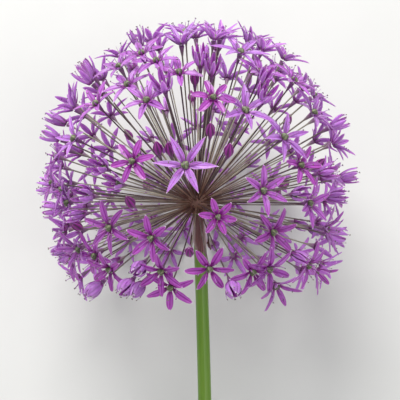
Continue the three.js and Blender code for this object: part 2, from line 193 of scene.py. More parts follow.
OVARY_RADIUS = (0.5, 0.08)           # a part of its own and a share of the tepal's length
OVARY_FOOT = 0.1
OVARY_HEIGHT = 2.0
OVARY_ROUND = (-0.88, 0.98)          # the part that it is of a ball from -1 to 1
OVARY_BLUNT = 0.01
OVARY_LOBES = {3: 0.07, 6: 0.06}     # waves round it, and how deep they are
STYLE_LENGTH = 2.4
STYLE_RADIUS = (0.12, 0.07)
STYLE_SUNK = 0.3                     # in the ovary
STYLE_VARIES = 0.5                   # how far its tip leans

BUD_OUTLINE = [
    (0, 0.4), (0.12, 0.76), (0.32, 1.0), (0.5, 0.97), (0.7, 0.72), (0.87, 0.36), (1, 0.06),
]
BUD_RIBS = (0.05, 0.2)               # how deep the creases are, at its foot and near its tip
BUD_RIB_ENDS = {"at": 0.02, "power": 0.4}        # where and how fast they fade at both ends
BUD_SPIRAL = 14.0                    # how far they turn on their way
BUD_STAGGER = 0.04                   # how much the outer three tepals stand out

PEDICEL_RADIUS = (0.23, 0.27)        # at the receptacle and under the floret
PEDICEL_VARIES = 0.16
PEDICEL_SWELLING = {"high": 0.13, "long": 2.4}
PEDICEL_RIM = {"star": 0.55, "funnel": 0.5, "bud": 0.35}
PEDICEL_RIM_LENGTH = 0.65
PEDICEL_END = {"star": HUB_BOTTOM + 0.6, "funnel": HUB_BOTTOM + 0.6, "bud": 0.1}
PEDICEL_SUNK = 1.0                   # how deep its root lies in the receptacle
PEDICEL_BOW = 1.4                    # from the most one way to the most the other way
PEDICEL_TURN = 0.35                  # how much it turns towards the way its floret faces

RECEPTACLE_OUTLINE = [
    (0, 0.05), (0.02, RECEPTACLE_NECK_RADIUS / RECEPTACLE_RADIUS), (0.25, 0.86), (0.46, 1.0),
    (0.7, 0.88), (0.9, 0.55), (1, 0.04),
]
RECEPTACLE_BELOW = 0.25              # how far its foot reaches below the CAD model's
RECEPTACLE_PITS = {"deep": 0.05, "round": 9, "turn": 14}

SCAPE_RIDGES = {"high": 0.012, "fine": 11, "broad": 5, "turn": 0.5, "offset": 1.3}
SCAPE_CUT_RINGS = (0.0, 0.35, 0.7, 0.93)         # in radii of the cut end
SCAPE_CUT_HOLLOW = 0.25

SPATHE_WALL = 0.16
SPATHE_INSET = 0.12                  # of its inner skin from the CAD model's
SPATHE_CREASES = {"deep": 0.1, "count": 17, "at_rim": 0.2}
SPATHE_CURL = 0.35                   # how far the edges of a valve stand out
SPATHE_RAGS = [(0.05, 23, 0), (0.04, 41, 50)]    # depth, count and offset of its tatters
SPATHE_BLEACHED = {"edge": 1.1, "tip": 0.25}

# -------------------------------- the photo's camera, the light and the floor

PHOTO_WIDTH = 400                    # pixels of the picture's frame
PHOTO_SCALE = 0.366                  # mm to a pixel at the receptacle
RECEPTACLE_PIXEL = (197, 203)        # where the receptacle is in the picture, right and down
CAMERA_DISTANCE = 370.0              # mm from the receptacle
CAMERA_ABOVE = 6.0                   # degrees above the plane square to the scape
CAMERA_SENSOR = 36.0                 # mm
CAMERA_NEAREST = 0.01                # m

HEAD_MIDDLE = np.array([0, 0.04, 0.055])         # m, where both softboxes point
SOFTBOXES = {
    "key": {"from": (-0.22, 0.72, 0.66), "size": 0.7, "watts": 12.8},
    "fill": {"from": (0.45, -0.45, 0.8), "size": 0.9, "watts": 2.6},
}
SKY_COLOUR = (0.93, 0.96, 1.0, 1)
SKY_STRENGTH = 0.55
FLOOR_HALF = 3.0                     # m


# -------------------------------- small helpers

looks = np.random.default_rng(412)   # variation of the finer pieces only


def vary(spread):
    """A draw around nought, as wide as the spread."""
    return spread * (looks.random() - 0.5)


def mix(a, b, share):
    return a + (b - a) * share


def limit(share):
    """A share kept between 0 and 1."""
    return min(max(share, 0), 1)


def unit(vector):
    return vector / np.linalg.norm(vector)


def ball(h, blunt):
    """The girth of a ball at heights from -1 to 1, with blunt ends."""
    return np.sqrt(np.maximum(1 - h ** 2, blunt))


def rings_of(piece):
    """Shares of the way along a piece, one to a ring."""
    return np.linspace(0, 1, FINENESS[piece][0])


def degrees_round(piece):
    """Angles round a piece, one to a point of a ring."""
    return np.linspace(0, 360, FINENESS[piece][1], endpoint=False)[None]


def smooth_curve(stops, at):
    """A curve through (place, value) stops that takes its slope at each from its neighbours."""
    places, values = np.array(stops, float).T
    slopes = np.gradient(values, places)
    at = np.asarray(at, float)
    i = np.clip(np.searchsorted(places, at, side="right") - 1, 0, len(places) - 2)
    step = places[i + 1] - places[i]
    u = (at - places[i]) / step
    return (
        values[i] * (1 + 2 * u) * (1 - u) ** 2 + slopes[i] * step * u * (1 - u) ** 2
        + values[i + 1] * u * u * (3 - 2 * u) - slopes[i + 1] * step * u * u * (1 - u)
    )


# -------------------------------- the plant's frame

SLOPE = math.radians(LEAN)
REST_HEIGHT = SCAPE_LENGTH * math.sin(SLOPE) + SCAPE_CUT_RADIUS * math.cos(SLOPE)
SURFACE_NORMAL = np.array([0.0, math.sin(SLOPE), math.cos(SLOPE)])
UPHILL = np.array([0.0, math.cos(SLOPE), -math.sin(SLOPE)])


def height_of(points):
    """Height above the surface of points of the plant's frame."""
    return REST_HEIGHT + points @ SURFACE_NORMAL


def lay(points):
    """Points of the plant's frame, in mm, to the frame's metres, with none below the surface."""
    x = RECEPTACLE_X + points[..., 0]
    y = RECEPTACLE_Y + points @ UPHILL
    z = np.maximum(height_of(points), LEAST_HEIGHT)
    return np.stack([x, y, z], axis=-1) * MM


# -------------------------------- the CAD model's rule for its florets

GOLDEN_ANGLE = 180 * (3 - math.sqrt(5))


def seeded_random(seed):
    """The CAD model's generator, with the same draws."""
    state = seed
    while True:
        state = (state * 1664525 + 1013904223) % 4294967296
        yield state / 4294967296


def direction(right, up):
    """The direction of a pedicel that points so far right and so far up, seen from the front."""
    right, up = math.radians(right), math.radians(up)
    return np.array([math.sin(right) * math.cos(up), math.sin(up), math.cos(right) * math.cos(up)])


def front_angle(outward):
    """The angle between a direction and the middle of the front."""
    return math.degrees(math.acos(min(1.0, direction(0, FRONT_UP) @ outward)))


class Site:
    """A floret, funnel or bud: its direction, place, facing, size and opening."""

    def __init__(self, kind, right, up, roll, tepal, cup, draws):
        self.kind, self.roll, self.tepal, self.cup = kind, roll, tepal, cup
        self.outward = direction(right, up)
        level_side = unit(np.array([self.outward[2], 0.0, -self.outward[0]]))
        up_side = np.cross(self.outward, level_side)
        nod = {"star": OPEN, "funnel": FUNNEL, "bud": BUD}[kind]["nod"] * draws["nod_share"]
        rise = BUD["rise"] * (1 - self.outward[1]) if kind == "bud" else 0
        self.facing = unit(
            self.outward
            + level_side * nod * (draws["nod_right"] - 0.5)
            + up_side * (nod * (draws["nod_up"] - 0.5) + rise)
        )
        self.across = unit(level_side - self.facing * (level_side @ self.facing))
        self.away = np.cross(self.facing, self.across)
        reach = LEVEL_REACH + TOP_REACH * max(0, self.outward[1])
        reach += REACH_SPREAD * (draws["reach"] - 0.5)
        if kind == "bud":
            reach *= BUD["reach"]
        self.hub = self.outward * reach
        self.lift_clear()

    def lift_clear(self):
        """A floret that would reach below the surface is pushed up until it rests on it."""
        if self.kind == "bud":
            ends = self.point(0, 0, BUD["length"])[None]
        else:
            ends = np.array([self.tepal_tip(k) for k in range(TEPALS)])
        self.hub = self.hub - SURFACE_NORMAL * min(0.0, height_of(ends).min())

    def point(self, radius, angle, height):
        """A point by its distance from the floret's axis, angle round it and height along it."""
        turn = np.radians(np.asarray(angle, float))[..., None]
        radius = np.asarray(radius, float)[..., None]
        height = np.asarray(height, float)[..., None]
        flat = self.across * np.cos(turn) + self.away * np.sin(turn)
        return self.hub + flat * radius + self.facing * height

    def tepal_angle(self, k):
        return self.roll + 360 / TEPALS * k

    def tepal_tip(self, k):
        cup = math.radians(self.cup)
        radius = TEPAL_BASE_RADIUS + self.tepal * math.cos(cup)
        return self.point(radius, self.tepal_angle(k), self.tepal * math.sin(cup))


def site_draws(random, nod_share):
    """The draws for one site, always in this order."""
    names = ("tepal", "cup", "roll", "reach", "nod_right", "nod_up")
    draws = {name: next(random) for name in names}
    draws["nod_share"] = nod_share
    return draws


def drawn_site(kind, right, up, draws):
    """A site with its size, opening and roll drawn, as for all but the landmark stars."""
    form = FUNNEL if kind == "funnel" else OPEN
    tepal = mix(*form["tepal"], draws["tepal"])
    cup = mix(*form["cup"], draws["cup"])
    return Site(kind, right, up, 360 / TEPALS * draws["roll"], tepal, cup, draws)


def landmark_sites(random):
    sites = []
    for right, up, roll, tepal in LANDMARK_STARS:
        draws = site_draws(random, LANDMARK_NOD_SHARE)
        rim = front_angle(direction(right, up)) > RIM_ANGLE
        cup = mix(*(OPEN["cup"] if rim else LANDMARK_CUP), draws["cup"])
        sites.append(Site("star", right, up, roll, tepal, cup, draws))
    for right, up in LANDMARK_FUNNELS:
        sites.append(drawn_site("funnel", right, up, site_draws(random, LANDMARK_NOD_SHARE)))
    for right, up in LANDMARK_BUDS:
        sites.append(drawn_site("bud", right, up, site_draws(random, LANDMARK_NOD_SHARE)))
    return sites


def drawn_kind(pick):
    if pick < BUD_SHARE:
        return "bud"
    return "funnel" if pick < BUD_SHARE + FUNNEL_SHARE else "star"


def spiral_sites(random, landmarks):
    """The other florets, on a golden-angle spiral from the head's top to its lowest pedicels."""
    sites = []
    clear_cosine = math.cos(math.radians(KEEP_CLEAR))
    for i in range(SPIRAL_SITES):
        share = (i + 0.5) / SPIRAL_SITES
        level = math.degrees(math.asin(mix(1, math.sin(math.radians(LOWEST)), share)))
        up = min(HIGHEST, level + WANDER * (next(random) - 0.5))
        girth = max(CROWN, math.cos(math.radians(up)))
        right = i * GOLDEN_ANGLE + WANDER * (next(random) - 0.5) / girth
        kind = drawn_kind(next(random))
        draws = site_draws(random, 1)
        outward = direction(right, up)
        clear = all(site.outward @ outward < clear_cosine for site in landmarks)
        if clear and front_angle(outward) > FRONT_ANGLE:
            sites.append(drawn_site(kind, right, up, draws))
    return sites


def all_sites():
    random = seeded_random(SEED)
    landmarks = landmark_sites(random)
    return landmarks + spiral_sites(random, landmarks)


# -------------------------------- lofts, the stuff of every piece

class Lofts:
    """Gathers lofts, closed skins through rings of points, into one mesh with its attributes."""

    def __init__(self):
        self.points, self.faces, self.values, self.count = [], [], {}, 0

    def add(self, rings, joined=False, **values):
        """A loft through rings, points in an array (rows, around, 3), with caps at both ends,
        or with its last ring joined to its first. Each value is a number or an array that
        spreads over (rows, around), and makes an attribute of its name."""
        rows, around = rings.shape[:2]
        index = self.count + np.arange(rows * around).reshape(rows, around)
        beside = np.roll(index, -1, axis=1)
        quads = np.stack([index[:-1], beside[:-1], beside[1:], index[1:]], axis=-1)
        self.faces += quads.reshape(-1, 4).tolist()
        if joined:
            self.faces += np.stack([index[-1], beside[-1], beside[0], index[0]], axis=-1).tolist()
        else:
            self.faces += [index[0, ::-1].tolist(), index[-1].tolist()]
        self.points.append(rings.reshape(-1, 3))
        for name, value in values.items():
            spread = np.broadcast_to(value, (rows, around)).reshape(-1)
            self.values.setdefault(name, []).append(spread)
        self.count += rows * around

    def piece(self, name, material, slot, sharp=70):
        """The mesh as an object of the frame that rides on the part's only body."""
        mesh = bpy.data.meshes.new(name)
        mesh.from_pydata(lay(np.concatenate(self.points)).tolist(), [], self.faces)
        for label, parts in self.values.items():
            attribute = mesh.attributes.new(label, "FLOAT", "POINT")
            attribute.data.foreach_set("value", np.concatenate(parts).astype(np.float32))
        mesh.shade_smooth()
        mesh.set_sharp_from_angle(angle=math.radians(sharp))
        mesh.materials.append(material)
        piece = bpy.data.objects.new(name, mesh)
        bpy.context.collection.objects.link(piece)
        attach(piece, "root")
        return piece


def ring_frames(centres, start_side):
    """Two directions across a centre line at each of its points, turned as little as may be."""
    along = np.gradient(centres, axis=0)
    along /= np.linalg.norm(along, axis=1, keepdims=True)
    sides = []
    side = start_side
    for step in along:
        side = unit(side - step * (side @ step))
        sides.append(side)
    sides = np.array(sides)
    return sides, np.cross(along, sides)


def tube(piece, centres, wide, deep, start_side):
    """Rings of an elliptic section, wide along the side direction and deep across it."""
    sides, backs = ring_frames(centres, start_side)
    turn = np.radians(degrees_round(piece)).T
    wide = np.broadcast_to(wide, len(centres))[:, None, None]
    deep = np.broadcast_to(deep, len(centres))[:, None, None]
    flat = sides[:, None] * np.cos(turn) * wide
    return centres[:, None] + flat + backs[:, None] * np.sin(turn) * deep


# -------------------------------- tepals

def age_of(site):
    """0 for a floret just open, magenta and short, to 1 for an old one, long and pale."""
    if site.kind == "funnel":
        return mix(*AGE_FUNNEL, looks.random())
    youngest, oldest = AGE_TEPAL
    grown = (site.tepal - youngest) / (oldest - youngest)
    return limit(grown + AGE_WITH_HEIGHT * site.outward[1] + vary(AGE_VARIES))


def closing_of(site):
    """0 for a star. The tips of a funnel draw together, most of all low on the head."""
    share = mix(CLOSING_SHARE["level"], CLOSING_SHARE["upright"], site.outward[1])
    share = limit(share + vary(CLOSING_VARIES))
    return mix(*CLOSING, share) if site.kind == "funnel" else 0


def narrowing(cup):
    """Tepals that stand up roll inwards, so they look narrower."""
    begin, end, left = TEPAL_NARROWS
    return mix(1, left, limit((cup - begin) / (end - begin)))


def half_breadth(s, site, k, length, cup, age, closing):
    """Half the breadth of a tepal along it, never more than it has room for."""
    room = TEPAL_ROOM[site.kind] * (TEPAL_BASE_RADIUS + TEPAL_WIDEST_AT * length * math.cos(cup))
    broad = TEPAL_WHORLS[k % 2] * min(TEPAL_WIDTH / 2, room) * mix(*TEPAL_BREADTH, age)
    broad *= mix(narrowing(site.cup), 1, closing)
    young, old = (smooth_curve(TEPAL_OUTLINES[name], s) for name in ("young", "old"))
    return broad * (1 + vary(TEPAL_VARIES["width"])) * mix(young, old, age)


def middle_line(s, length, cup, arch, closing):
    """How far out and how high the middle of a tepal runs, arched between its foot and tip."""
    lift = np.sin(math.pi * s ** TEPAL_ARCH_POWER) * arch
    reach = TEPAL_BASE_RADIUS - TEPAL_ROOT["out"] + length * math.cos(cup)
    out = TEPAL_ROOT["out"] + reach * s - lift * math.sin(cup)
    high = mix(TEPAL_ROOT["high"], length * math.sin(cup), s) + lift * math.cos(cup)
    return out * (1 - closing * s ** CLOSING_POWER), high


def ridge_at(t, width):
    """A soft ridge along the middle of a tepal."""
    return np.exp(-(t / width) ** 2)


def relief(s, t, face, half):
    """How far the skin of a tepal lies above its flat blade."""
    hooded = np.clip((s - TEPAL_HOOD["from"]) / (1 - TEPAL_HOOD["from"]), 0, 1)
    rise = mix(*TEPAL_CHANNEL["rise"], looks.random()) * (1 + TEPAL_HOOD["rise"] * hooded)
    channel = rise * half * np.abs(t) ** TEPAL_CHANNEL["power"]
    waves = np.sin(2 * math.pi * TEPAL_WAVE["count"] * (s + looks.random()))
    wave = TEPAL_WAVE["high"] * half * waves * t * np.abs(t)
    skin = TEPAL_THICKNESS / 2 * ball(t, 0) * (1 - TEPAL_THINS * s)
    groove = TEPAL_GROOVE["deep"] * ridge_at(t, TEPAL_GROOVE["wide"]) * (1 - s)
    keel = TEPAL_KEEL["deep"] * ridge_at(t, TEPAL_KEEL["wide"]) * (1 - TEPAL_KEEL["fades"] * s)
    return channel + wave + face * skin - np.where(face > 0, groove, np.where(face < 0, keel, 0))


def tepal_section():
    """Places round a tepal's section from edge to edge, with 1 on the upper face, -1 on the
    lower one and 0 at the edges."""
    upper = np.array(TEPAL_ACROSS)
    lower = upper[-2:0:-1]
    t = np.concatenate([upper, lower])[None]
    face = np.concatenate([np.ones(len(upper)), -np.ones(len(lower))])[None]
    return t, np.where(np.abs(t) == 1, 0, face)


def tepal_rings(site, k, age, closing):
    """One tepal: a thin channelled blade with a keel, and the values its finish needs."""
    s = np.linspace(0, 1, TEPAL_ROWS)[:, None] ** TEPAL_ROW_POWER
    t, face = tepal_section()
    length = site.tepal * (1 + vary(TEPAL_VARIES["length"]))
    cup = math.radians(site.cup + vary(TEPAL_VARIES["cup"]))
    twist = math.radians(vary(TEPAL_VARIES["twist"])) * s
    bend = vary(TEPAL_VARIES["bend"]) * length * s ** 2
    arch = TEPAL_ARCH[site.kind] * length * (1 + vary(TEPAL_VARIES["arch"]))
    half = half_breadth(s, site, k, length, cup, age, closing)
    out, high = middle_line(s, length, cup, arch, closing)
    raised = relief(s, t, face, half)

    aside = t * half * np.cos(twist) - raised * np.sin(twist) + bend
    above = t * half * np.sin(twist) + raised * np.cos(twist)
    out = out - above * math.sin(cup)
    high = high + above * math.cos(cup)
    turn = np.degrees(np.arctan2(aside, out)) + site.tepal_angle(k)
    return site.point(np.hypot(out, aside), turn, high), {"along": s, "across": t, "face": face}


# -------------------------------- the rest of a floret, buds and pedicels

def add_stamen(filaments, anthers, site, k, tone, age):
    """A filament that is broad at its foot, and an anther across its tip."""
    rise = math.radians(mix(*FILAMENT_RISE[site.kind], age) + vary(FILAMENT_VARIES["rise"]))
    length = mix(*FILAMENT_LENGTH[site.kind], looks.random()) * site.tepal
    angle = site.tepal_angle(k) + vary(FILAMENT_VARIES["turn"])
    s = rings_of("filament")
    bow = FILAMENT_BOW * np.sin(math.pi * s)
    out = FILAMENT_ROOT["out"] + length * (math.cos(rise) * s + bow)
    high = FILAMENT_ROOT["high"] + length * math.sin(rise) * s
    centres = site.point(out, angle, high)
    side = unit(site.point(1, angle + 90, 0) - site.hub)
    wide = FILAMENT_RADIUS + FILAMENT_ROOT["wide"] * (1 - s) ** FILAMENT_TAPER["wide"]
    deep = FILAMENT_RADIUS + FILAMENT_ROOT["deep"] * (1 - s) ** FILAMENT_TAPER["deep"]
    filaments.add(tube("filament", centres, wide, deep, side), along=s[:, None], age=age)

    h = mix(-1, 1, rings_of("anther"))
    leaning = unit(side + vary(ANTHER_VARIES) * site.facing)
    middle = centres[-1] + leaning * ANTHER_LENGTH / 2 * h[:, None]
    fat = ANTHER_RADIUS * ball(h, ANTHER_BLUNT)
    anthers.add(tube("anther", middle, fat, fat * ANTHER_FLATNESS, site.facing), tone=tone)


def add_pistil(ovaries, styles, site):
    """A green ovary of three lobes, each with a shallow groove, and its thin style."""
    h = rings_of("ovary")[:, None]
    angle = degrees_round("ovary")
    turn = np.radians(angle - site.roll)
    grooves = sum(deep * np.cos(count * turn) for count, deep in OVARY_LOBES.items())
    girth = OVARY_RADIUS[0] + OVARY_RADIUS[1] * site.tepal
    plump = ball(mix(*OVARY_ROUND, h), OVARY_BLUNT)
    high = mix(OVARY_FOOT, OVARY_HEIGHT, h)
    ovaries.add(site.point(girth * plump * (1 + grooves), angle, high), along=h, groove=grooves)

    s = rings_of("style")
    lean = vary(STYLE_VARIES)
    centres = site.point(lean * s ** 2, site.roll, OVARY_HEIGHT - STYLE_SUNK + STYLE_LENGTH * s)
    thin = mix(*STYLE_RADIUS, s)
    styles.add(tube("style", centres, thin, thin, site.across), along=s[:, None])


def add_bud(buds, site):
    """A closed bud: six keeled tepals wrapped to a plump spindle, their tips standing apart."""
    h = rings_of("bud")[:, None]
    angle = degrees_round("bud")
    ribs = np.cos(np.radians(TEPALS * (angle - site.roll + BUD_SPIRAL * h)))
    end = BUD_RIB_ENDS["at"]
    fading = np.sin(math.pi * np.clip(h, end, 1 - end)) ** BUD_RIB_ENDS["power"]
    parted = mix(*BUD_RIBS, h) * fading
    stagger = 1 + BUD_STAGGER * np.cos(np.radians(TEPALS / 2 * (angle - site.roll)))
    radius = BUD["radius"] * smooth_curve(BUD_OUTLINE, h) * (1 + parted * ribs) * stagger
    buds.add(site.point(radius, angle, BUD["length"] * h), along=h, rib=ribs)


def add_pedicel(pedicels, site, tone):
    """A pedicel bowed a little on its way, swollen where the floret sits on it."""
    s = rings_of("pedicel")
    start = site.outward * (RECEPTACLE_RADIUS - PEDICEL_SUNK)
    span = site.point(0, 0, PEDICEL_END[site.kind]) - start
    run = np.linalg.norm(span)
    around = unit(np.cross(span, site.across))
    bow_way = vary(PEDICEL_BOW) * around + vary(PEDICEL_BOW) * unit(np.cross(span, around))
    bow = np.sin(math.pi * s)[:, None] * bow_way
    arrive = (s ** 3 * (1 - s) * PEDICEL_TURN * run)[:, None] * (unit(span) - site.facing)
    centres = start + span * s[:, None] + bow + arrive
    left = (1 - s) * run
    swelling = PEDICEL_SWELLING["high"] * np.exp(-(left / PEDICEL_SWELLING["long"]) ** 2)
    rim = PEDICEL_RIM[site.kind] * np.exp(-(left / PEDICEL_RIM_LENGTH) ** 2)
    radius = mix(*PEDICEL_RADIUS, s) * (1 + vary(PEDICEL_VARIES)) + swelling + rim
    # Drives painted shade on the front pedicels and painted light on the back ones.
    front = (site.outward[2] + 1) / 2
    rings = tube("pedicel", centres, radius, radius, site.across)
    pedicels.add(rings, along=s[:, None], tone=tone, front=front)


def add_receptacle(pedicels):
    """The dome that the pedicels spring from, pitted between them."""
    h = rings_of("receptacle")[:, None]
    angle = np.radians(degrees_round("receptacle"))
    pits = np.sin(RECEPTACLE_PITS["round"] * angle + RECEPTACLE_PITS["turn"] * h)
    radius = RECEPTACLE_RADIUS * smooth_curve(RECEPTACLE_OUTLINE, h)
    radius = radius * (1 + RECEPTACLE_PITS["deep"] * pits)
    y = mix(RECEPTACLE_FOOT - RECEPTACLE_BELOW, RECEPTACLE_RADIUS, h) + 0 * angle
    rings = np.stack([radius * np.sin(angle), y, radius * np.cos(angle)], axis=-1)
    # The receptacle takes the pedicels' root colour, lightened with painted light, and a middling
    # share of their painted front-to-back shade.
    pedicels.add(rings, along=0.0, tone=0.5, front=0.5)


# -------------------------------- what materials are made with

def linear(share):
    """The sRGB standard's curve, from a stored share of a colour to its share of light."""
    return share / 12.92 if share <= 0.04045 else ((share + 0.055) / 1.055) ** 2.4


def srgb(text):
    """A linear colour from its usual six hex digits."""
    return tuple(linear(int(text[i:i + 2], 16) / 255) for i in (0, 2, 4)) + (1.0,)


class Finish:
    """A material with short calls for its nodes. A colour may be given as six hex digits, and
    a mask is a value from 0, where it hides, to 1."""

    def __init__(self, name, roughness, **settings):
        self.material = bpy.data.materials.new(name)
        self.material.use_nodes = True
        self.tree = self.material.node_tree
        self.shader = self.tree.nodes["Principled BSDF"]
        self.shader.inputs["Roughness"].default_value = roughness
        for label, value in settings.items():
            self.shader.inputs[label.replace("_", " ")].default_value = value

    def node(self, kind, settings=None, **inputs):
        made = self.tree.nodes.new("ShaderNode" + kind)
        for label, value in (settings or {}).items():
            setattr(made, label, value)
        for label, value in inputs.items():
            self.feed(made.inputs[label], value)
        return made

    def feed(self, socket, value):
        if isinstance(value, bpy.types.NodeSocket):
            self.tree.links.new(value, socket)
        else:
            socket.default_value = srgb(value) if isinstance(value, str) else value

    def value(self, name):
        """One of the values that came with the lofts."""
        return self.node("Attribute", {"attribute_name": name}).outputs["Fac"]

    def math(self, operation, a, b=0.0, c=0.0, clamp=False):
        made = self.node("Math", {"operation": operation, "use_clamp": clamp})
        for socket, number in zip(made.inputs, (a, b, c)):
            self.feed(socket, number)
        return made.outputs["Value"]

    def product(self, first, *others):
        for other in others:
            first = self.math("MULTIPLY", first, other)
        return first

    def grade(self, share, low, high):
        """A value that is low where the share is 0 and high where it is 1."""
        return self.math("MULTIPLY_ADD", share, high - low, low)

    def band(self, value, low, high):
        """0 below low, 1 above high, or the other way round where low is the greater."""
        made = self.node("MapRange", {"interpolation_type": "SMOOTHSTEP"}, Value=value)
        made.inputs["From Min"].default_value = min(low, high)
        made.inputs["From Max"].default_value = max(low, high)
        made.inputs["To Min"].default_value = 0.0 if low < high else 1.0
        made.inputs["To Max"].default_value = 1.0 if low < high else 0.0
        return made.outputs["Result"]

    def blend(self, share, a, b, how="MIX"):
        made = self.node("Mix", {"data_type": "RGBA", "blend_type": how})
        for socket, given in ((made.inputs[0], share), (made.inputs[6], a), (made.inputs[7], b)):
            self.feed(socket, given)
        return made.outputs[2]

    def tint(self, colour, hue, *masks):
        """Lays a hue over a colour, as far as the product of the masks lets it."""
        return self.blend(self.product(*masks), colour, hue)

    def ramp(self, value, stops):
        made = self.node("ValToRGB", Fac=value)
        elements = made.color_ramp.elements
        while len(elements) < len(stops):
            elements.new(0.5)
        for element, (place, colour) in zip(elements, stops):
            element.position = place
            element.color = srgb(colour)
        return made.outputs["Color"]

    def noise(self, scale, detail=3.0, stretch=(1, 1, 1)):
        """Noise with so many grains to a metre, drawn out along an axis where it stretches."""
        spot = self.node("TexCoord").outputs["Object"]
        place = self.node("Mapping", Vector=spot, Scale=stretch).outputs["Vector"]
        return self.node("TexNoise", Vector=place, Scale=scale, Detail=detail).outputs["Fac"]

    def streaks(self, across, along, own):
        """Uneven streaks along a tepal, different on each."""
        spot = self.node(
            "CombineXYZ", X=self.product(across, 4.0), Y=along, Z=self.product(own, 60.0),
        )
        return self.node("TexNoise", Vector=spot.outputs[0], Scale=1.0, Detail=2.0).outputs["Fac"]

    def bump(self, height, strength, depth):
        """Relief of so many millimetres."""
        made = self.node("Bump", Height=height, Strength=strength, Distance=depth * MM)
        self.tree.links.new(made.outputs["Normal"], self.shader.inputs["Normal"])

    def colour(self, socket):
        self.tree.links.new(socket, self.shader.inputs["Base Color"])


# -------------------------------- the materials of the head

def tepal_finish():
    """Lilac with a deep midrib, fine veins and a magenta foot, with painted highlight bands beside
    the midrib, painted light on the undersides and a whitish painted highlight at the tip.
    """
    f = Finish("tepal", roughness=0.4, Subsurface_Weight=0.45, Subsurface_Scale=0.001,
               Subsurface_Radius=(1.0, 0.5, 1.0), Sheen_Weight=0.08, Sheen_Roughness=0.5)
    along, across, age = f.value("along"), f.value("across"), f.value("age")
    aside = f.math("ABSOLUTE", across)
    young = f.ramp(along, [
        (0.0, "7a0c70"), (0.2, "921a8a"), (0.45, "961e96"), (0.75, "90188c"), (1.0, "902488"),
    ])
    old = f.ramp(along, [
        (0.0, "84308c"), (0.16, "a45eb8"), (0.45, "ab70c2"), (0.75, "a65fba"), (1.0, "9e56ac"),
    ])
    colour = f.blend(age, young, old)

    streaks = f.streaks(across, along, f.value("own"))
    colour = f.tint(colour, "d0a2f0", f.band(streaks, 0.5, 0.7), f.grade(age, 0.15, 0.5))
    colour = f.tint(colour, "8c2494", f.band(streaks, 0.5, 0.3), 0.5)
    # Painted highlight: pale bands on each side of the midrib, where a channelled tepal would
    # catch the light.
    between = f.product(f.band(aside, 0.12, 0.3), f.band(aside, 0.72, 0.42))
    pale = f.blend(age, "c674d4", "bc88e0")
    colour = f.tint(colour, pale, between, f.band(along, 0.05, 0.3), f.grade(age, 0.44, 0.46))
    midrib = f.product(f.band(aside, 0.18, 0.02), f.band(along, 1.05, 0.6))
    colour = f.tint(colour, "861488", midrib, f.grade(age, 0.9, 0.6))
    veins = f.math("SINE", f.product(aside, 19.0))
    veins = f.product(f.band(veins, 0.35, 1.0), f.band(along, 0.95, 0.5))
    colour = f.tint(colour, "843898", veins, 0.25)

    # Painted light: the undersides lie in shade away from the lamps, and are tinted a lighter
    # lilac.
    underside = f.band(f.value("face"), 0.1, -0.1)
    colour = f.tint(colour, "bc7ed6", underside, 0.6)
    # Painted highlight: the whitish tip stands for the light caught by the rolled tip.
    colour = f.tint(colour, "e2cae2", f.band(along, 0.93, 0.99))
    past_foot = f.math("SUBTRACT", along, f.grade(age, 0.22, 0.07))
    colour = f.tint(colour, "7c0e74", f.band(past_foot, 0.06, -0.1), 0.9)
    tone = f.product(f.grade(f.noise(900, 4.0), 0.7, 1.3), f.grade(f.value("tone"), 0.8, 1.14))
    grey = f.node("CombineColor", Red=tone, Green=tone, Blue=tone).outputs[0]
    f.colour(f.blend(1.0, colour, grey, "MULTIPLY"))
    f.bump(f.math("MULTIPLY_ADD", veins, -0.6, f.noise(5200, 2.0)), 0.25, 0.08)
    return f.material


def filament_finish():
    """Deep magenta at its broad foot, lilac towards the anther, and paler with age."""
    f = Finish("filament", roughness=0.4, Subsurface_Weight=0.1, Subsurface_Scale=0.001)
    colour = f.ramp(f.value("along"), [
        (0.0, "780c70"), (0.35, "8e1e8e"), (0.6, "a04eb0"), (1.0, "bc90cc"),
    ])
    colour = f.tint(colour, "b080c8", f.value("age"), 0.5)
    f.colour(f.tint(colour, "6a1470", f.noise(1800), 0.3))
    f.bump(f.noise(6000), 0.2, 0.04)
    return f.material


def anther_finish():
    """Dusty: some dark grey-violet, some grey-olive with pollen."""
    f = Finish("anther", roughness=0.85)
    dust = f.band(f.noise(5200, 4.0), 0.5, 0.64)
    body = f.blend(f.band(f.value("tone"), 0.2, 0.8), "4a2c50", "7d7468")
    f.colour(f.tint(body, "96887e", dust))
    f.bump(f.noise(9000, 4.0), 0.6, 0.06)
    return f.material


def ovary_finish():
    """Yellow-green, with painted shade in the grooves and painted light on the lobes, dark magenta
    at the foot, fine warts.
    """
    f = Finish("ovary", roughness=0.45, Subsurface_Weight=0.12, Subsurface_Scale=0.001)
    # Painted shade and light: dark where the groove value sinks, pale where the lobes bulge.
    colour = f.blend(f.band(f.value("groove"), -0.12, 0.1), "3a432a", "7c8660")
    colour = f.tint(colour, "55104e", f.band(f.value("along"), 0.4, 0.0))
    warts = f.noise(4200, 2.0)
    f.colour(f.tint(colour, "aea88c", f.band(warts, 0.5, 0.75), 0.5))
    f.bump(warts, 0.7, 0.12)
    return f.material


def style_finish():
    """Whitish, with a lilac stigma."""
    f = Finish("style", roughness=0.45)
    colour = f.ramp(f.value("along"), [(0.0, "a88aa4"), (1.0, "c89ac8")])
    f.colour(f.tint(colour, "a06a9c", f.noise(3000), 0.3))
    return f.material


